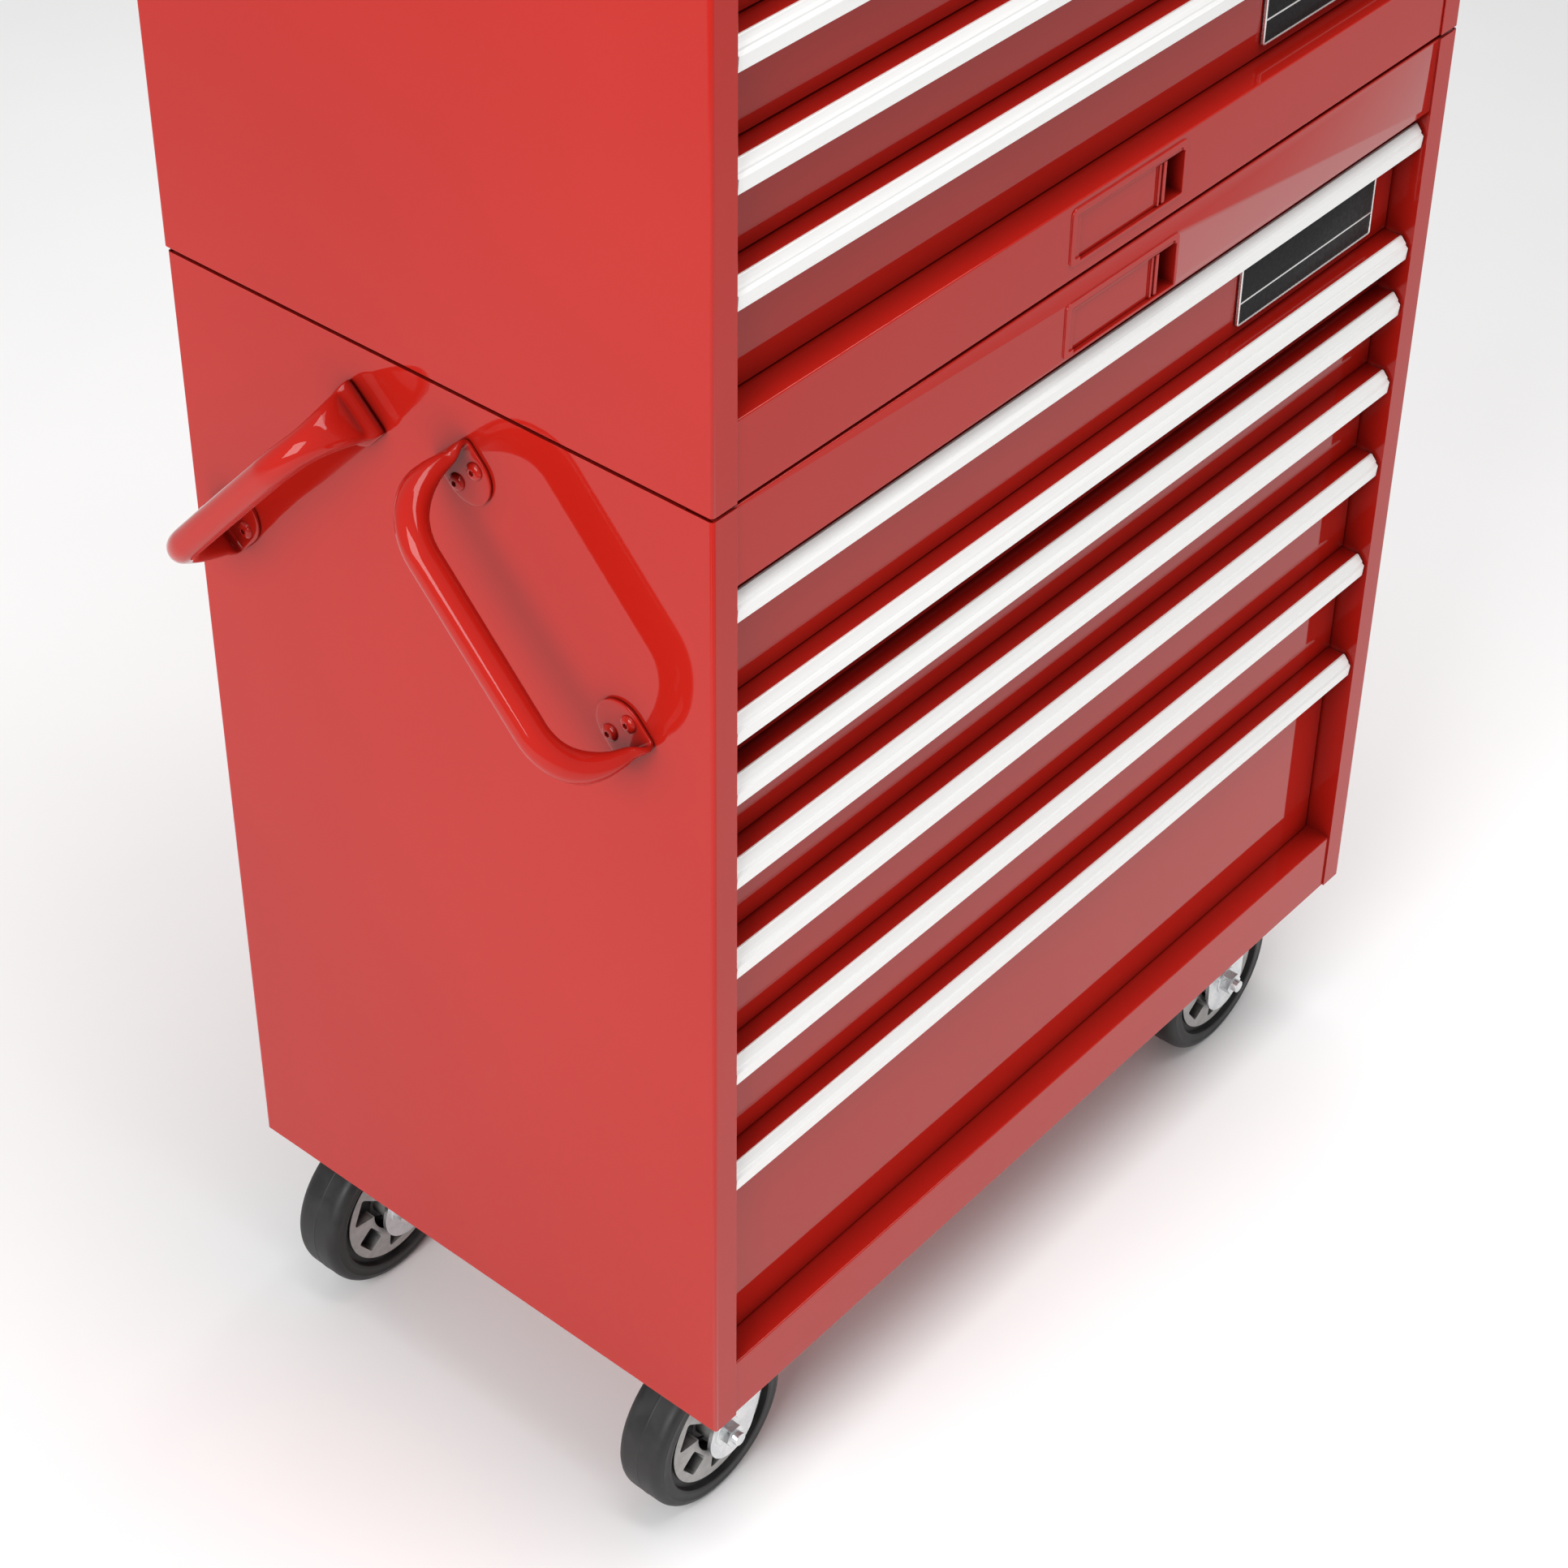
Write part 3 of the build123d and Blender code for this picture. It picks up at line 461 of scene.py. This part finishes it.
def handle_piece(node_name):
    low, high = box_of(node_name)
    tilt = HANDLE_TILT[node_name]
    along = Vector((0, cos(tilt), sin(tilt)))
    away = Vector((-1, 0, 0))
    side = along.cross(away)
    centre = Vector((high.x, (low.y + high.y) / 2, (low.z + high.z) / 2))
    half = half_handle()
    stations = [(-a, v, w, t, q) for a, v, w, t, q in reversed(half)] + half[1:]
    rings = []
    for i, (a, v, width, thin, square) in enumerate(stations):
        before = stations[max(i - 1, 0)]
        after = stations[min(i + 1, len(stations) - 1)]
        tangent = Vector((after[0] - before[0], after[1] - before[1], 0)).normalized()
        across = Vector((-tangent.y, tangent.x, 0))
        power = 1.0 - SQUARENESS * square
        ring = []
        for step in range(SECTION_STEPS):
            turn = 2 * pi * step / SECTION_STEPS
            c, s = cos(turn), sin(turn)
            out = abs(c) ** power * (1 if c > 0 else -1) * width
            up = abs(s) ** power * (1 if s > 0 else -1) * thin
            place = Vector((a, v, 0)) + across * up
            ring.append(centre + MM * (along * place.x + away * place.y + side * out))
        rings.append(ring)
    keep(f"{node_name}_tube", skin(rings), "red_paint", body_of(node_name), node_name)


for node_name in HANDLE_TILT:
    handle_piece(node_name)

# ---------------------------------------------------------------- button-head screws

# (radius, height above the pad), in mm; from SOCKET_FROM on, the rings are hexagons.
SCREW_PROFILE = (
    (7.2, 0.0), (7.2, 0.5), (7.0, 1.1), (6.5, 1.8), (5.7, 2.5), (4.6, 3.1), (3.4, 3.45),
    (2.7, 3.6), (2.4, 3.4), (2.3, 1.6), (0.6, 1.3),
)
SOCKET_FROM = 8
SCREW_ALONG, SCREW_ACROSS = 103, 12.2
PAD_TOP = 3.5
SCREW_STEPS = 36
HEX_SIDE = pi / 3

for node_name, tilt in HANDLE_TILT.items():
    low, high = box_of(node_name)
    along = Vector((0, cos(tilt), sin(tilt)))
    side = along.cross(Vector((-1, 0, 0)))
    middle = Vector((high.x, (low.y + high.y) / 2, (low.z + high.z) / 2))
    number = 0
    for end in (-1, 1):
        for hand in (-1, 1):
            number += 1
            foot = middle + MM * (along * SCREW_ALONG * end + side * SCREW_ACROSS * hand)
            rings = []
            for index, (radius, height) in enumerate(SCREW_PROFILE):
                ring = []
                for step in range(SCREW_STEPS):
                    turn = 2 * pi * step / SCREW_STEPS
                    reach = radius
                    if index >= SOCKET_FROM:
                        from_flat = (turn + HEX_SIDE / 2) % HEX_SIDE - HEX_SIDE / 2
                        reach = radius * cos(HEX_SIDE / 2) / cos(from_flat)
                    spoke = along * cos(turn) + side * sin(turn)
                    ring.append(foot + MM * (spoke * reach - Vector((PAD_TOP + height, 0, 0))))
                rings.append(ring)
            screw = keep(f"{node_name}_screw_{number}", skin(rings), "red_paint", "frame")
            if (node_name, number) == ("front_side_handle", 1):
                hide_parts("handle_screws")

# ---------------------------------------------------------------- badges


CORNER_STEPS = 6


def rounded_outline(x, z, radius):
    points = []
    corners = ((x[1], z[1], 0), (x[0], z[1], 1), (x[0], z[0], 2), (x[1], z[0], 3))
    for corner_x, corner_z, quarter in corners:
        centre_x = corner_x - radius if quarter in (0, 3) else corner_x + radius
        centre_z = corner_z - radius if quarter in (0, 1) else corner_z + radius
        for step in range(CORNER_STEPS + 1):
            turn = pi / 2 * (quarter + step / CORNER_STEPS)
            points.append((centre_x + radius * cos(turn), centre_z + radius * sin(turn)))
    return points


def plate_rings(x, z, levels):
    """Rounded outlines, one for each level of (y, how far inside the box, corner radius)."""
    rings = []
    for y, inset, radius in levels:
        across, upright = (x[0] + inset, x[1] - inset), (z[0] + inset, z[1] - inset)
        outline = rounded_outline(across, upright, radius)
        rings.append([Vector((px, y, pz)) for px, pz in outline])
    return rings


BADGE_BORDER = 2.2 * MM
DIVIDER_RISE = 21 * MM
DIVIDER_HALF = 0.8 * MM
DIVIDER_INSET = 2 * MM

for node_name in ("cabinet_badge", "chest_badge"):
    low, high = box_of(node_name)
    x, z = (low.x, high.x), (low.z, high.z)
    front, back = low.y, high.y
    plate = plate_rings(x, z, (
        (back, 0.0006, 0.002),
        (front + 0.0009, 0.0006, 0.002),
        (front + 0.0007, 0.001, 0.0018),
    ))
    keep(f"{node_name}_plate", skin(plate), "badge", body_of(node_name), node_name)
    border = skin(plate_rings(x, z, (
        (back - 0.0012, 0.0, 0.0025),
        (front + 0.0004, 0.0, 0.0025),
        (front + 0.0001, 0.0003, 0.0022),
        (front, 0.0008, 0.0017),
        (front, 0.0014, 0.0011),
        (front + 0.0003, 0.002, 0.0006),
        (front + 0.0012, BADGE_BORDER, 0.0004),
        (back - 0.0012, BADGE_BORDER, 0.0004),
    )), closed_path=True)
    body = body_of(node_name)
    keep(f"{node_name}_border", border, "silver", body)
    line = low.z + DIVIDER_RISE
    across = (x[0] + DIVIDER_INSET, x[1] - DIVIDER_INSET)
    upright = (line - DIVIDER_HALF, line + DIVIDER_HALF)
    bar = skin(plate_rings(across, upright, (
        (front + 0.0012, 0.0, 0.0003),
        (front + 0.0005, 0.0, 0.0003),
        (front + 0.0002, 0.0003, 0.0002),
    )))
    keep(f"{node_name}_divider", bar, "silver", body)

# ---------------------------------------------------------------- drawers and their zinc runners

RUNNER_WIDTH = 0.02
DRAWER_EDGE = 0.0004

for node_name in [name for name in nodes if "_drawer_" in name]:
    whole = bmesh.new()
    whole.from_mesh(nodes[node_name].data)
    bmesh.ops.remove_doubles(whole, verts=whole.verts, dist=SAME_POINT)
    bmesh.ops.dissolve_limit(whole, angle_limit=SAME_PLANE, verts=whole.verts, edges=whole.edges)
    whole.verts.index_update()
    waiting = set(whole.verts)
    runners = set()
    while waiting:
        island = {waiting.pop()}
        frontier = list(island)
        while frontier:
            for edge in frontier.pop().link_edges:
                for vertex in edge.verts:
                    if vertex in waiting:
                        waiting.discard(vertex)
                        island.add(vertex)
                        frontier.append(vertex)
        across = [vertex.co.x for vertex in island]
        if max(across) - min(across) < RUNNER_WIDTH:
            runners |= island
    order = {vertex.index for vertex in runners}
    parts = {"box": whole, "runners": whole.copy()}
    for part_name, mesh in parts.items():
        mesh.verts.ensure_lookup_table()
        unwanted = [v for v in mesh.verts if (v.index in order) == (part_name == "box")]
        bmesh.ops.delete(mesh, geom=unwanted, context="VERTS")
    body = body_of(node_name)
    soften(keep(f"{node_name}_box", parts["box"], "red_paint", body, node_name), DRAWER_EDGE)
    keep(f"{node_name}_runners", parts["runners"], "zinc", body)

# ---------------------------------------------------------------- rounded edges on CAD nodes

# A word in the node's name, and the width of the rounding on its edges.
EDGE_WIDTHS = {
    "shell": 0.0005, "rail": 0.0005, "pull": 0.00025, "rim": 0.0008, "fork": 0.0007,
    "lid": 0.0004, "shutter": 0.0003, "top": 0.0004, "base": 0.0004, "till": 0.0004,
}
for node_name, node in nodes.items():
    for word, width in EDGE_WIDTHS.items():
        if word in node_name.split("_") and not node_name.startswith("lid_"):
            soften(node, width)

# ---------------------------------------------------------------- camera, floor and light

CAMERA_PLACE = (-1.80445, -1.48755, 2.3867)
LENS = 79.69
SHIFT = (0.06, -0.07)
VIEW_DISTANCE = 100
HEADING, PITCH, ROLL = radians(48.276), radians(-37.81), radians(0.517)

camera_data = bpy.data.cameras.new("camera")
camera_data.lens = LENS
camera_data.shift_x, camera_data.shift_y = SHIFT
camera_data.clip_end = VIEW_DISTANCE
camera = bpy.data.objects.new("camera", camera_data)
scene.collection.objects.link(camera)
forward = Vector((sin(HEADING) * cos(PITCH), cos(HEADING) * cos(PITCH), sin(PITCH)))
level_right = Vector((cos(HEADING), -sin(HEADING), 0))
level_down = forward.cross(level_right)
right = cos(ROLL) * level_right + sin(ROLL) * level_down
down = cos(ROLL) * level_down - sin(ROLL) * level_right
axes = Matrix((right, -down, -forward)).transposed().to_4x4()
camera.matrix_world = Matrix.Translation(CAMERA_PLACE) @ axes
scene.camera = camera

FLOOR = 30
FLOOR_CORNERS = [(-FLOOR, -FLOOR, 0), (FLOOR, -FLOOR, 0), (FLOOR, FLOOR, 0), (-FLOOR, FLOOR, 0)]

floor_mesh = bpy.data.meshes.new("floor")
floor_mesh.from_pydata(FLOOR_CORNERS, [], [(0, 1, 2, 3)])
floor = bpy.data.objects.new("floor", floor_mesh)
scene.collection.objects.link(floor)
paper = Surface("floor_paper", Roughness=0.9)
shade = paper.spread(paper.noise(1.5), 0.0, 1.0)
paper.set("Base Color", paper.mix(shade, (0.86, 0.86, 0.86), (0.89, 0.89, 0.89)))
floor_mesh.materials.append(paper.material)
floor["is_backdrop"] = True

world = bpy.data.worlds.new("world")
world.use_nodes = True
background = world.node_tree.nodes["Background"]
background.inputs["Color"].default_value = (1.0, 1.0, 1.0, 1.0)
background.inputs["Strength"].default_value = 0.5
scene.world = world


def softbox(name, place, target, size, watts):
    data = bpy.data.lights.new(name, "AREA")
    data.shape = "RECTANGLE"
    data.size, data.size_y = size
    data.energy = watts
    lamp = bpy.data.objects.new(name, data)
    lamp.location = place
    toward = Vector(target) - Vector(place)
    lamp.rotation_euler = toward.to_track_quat("-Z", "Y").to_euler()
    scene.collection.objects.link(lamp)


softbox("key", (-3.6, -0.7, 2.7), (-0.3, 0, 0.7), (2.2, 2.2), 118)
softbox("top", (0.3, -0.8, 4.4), (0, 0, 0.7), (2.5, 2.5), 130)

# ---------------------------------------------------------------- sizes, and the end

low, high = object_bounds()
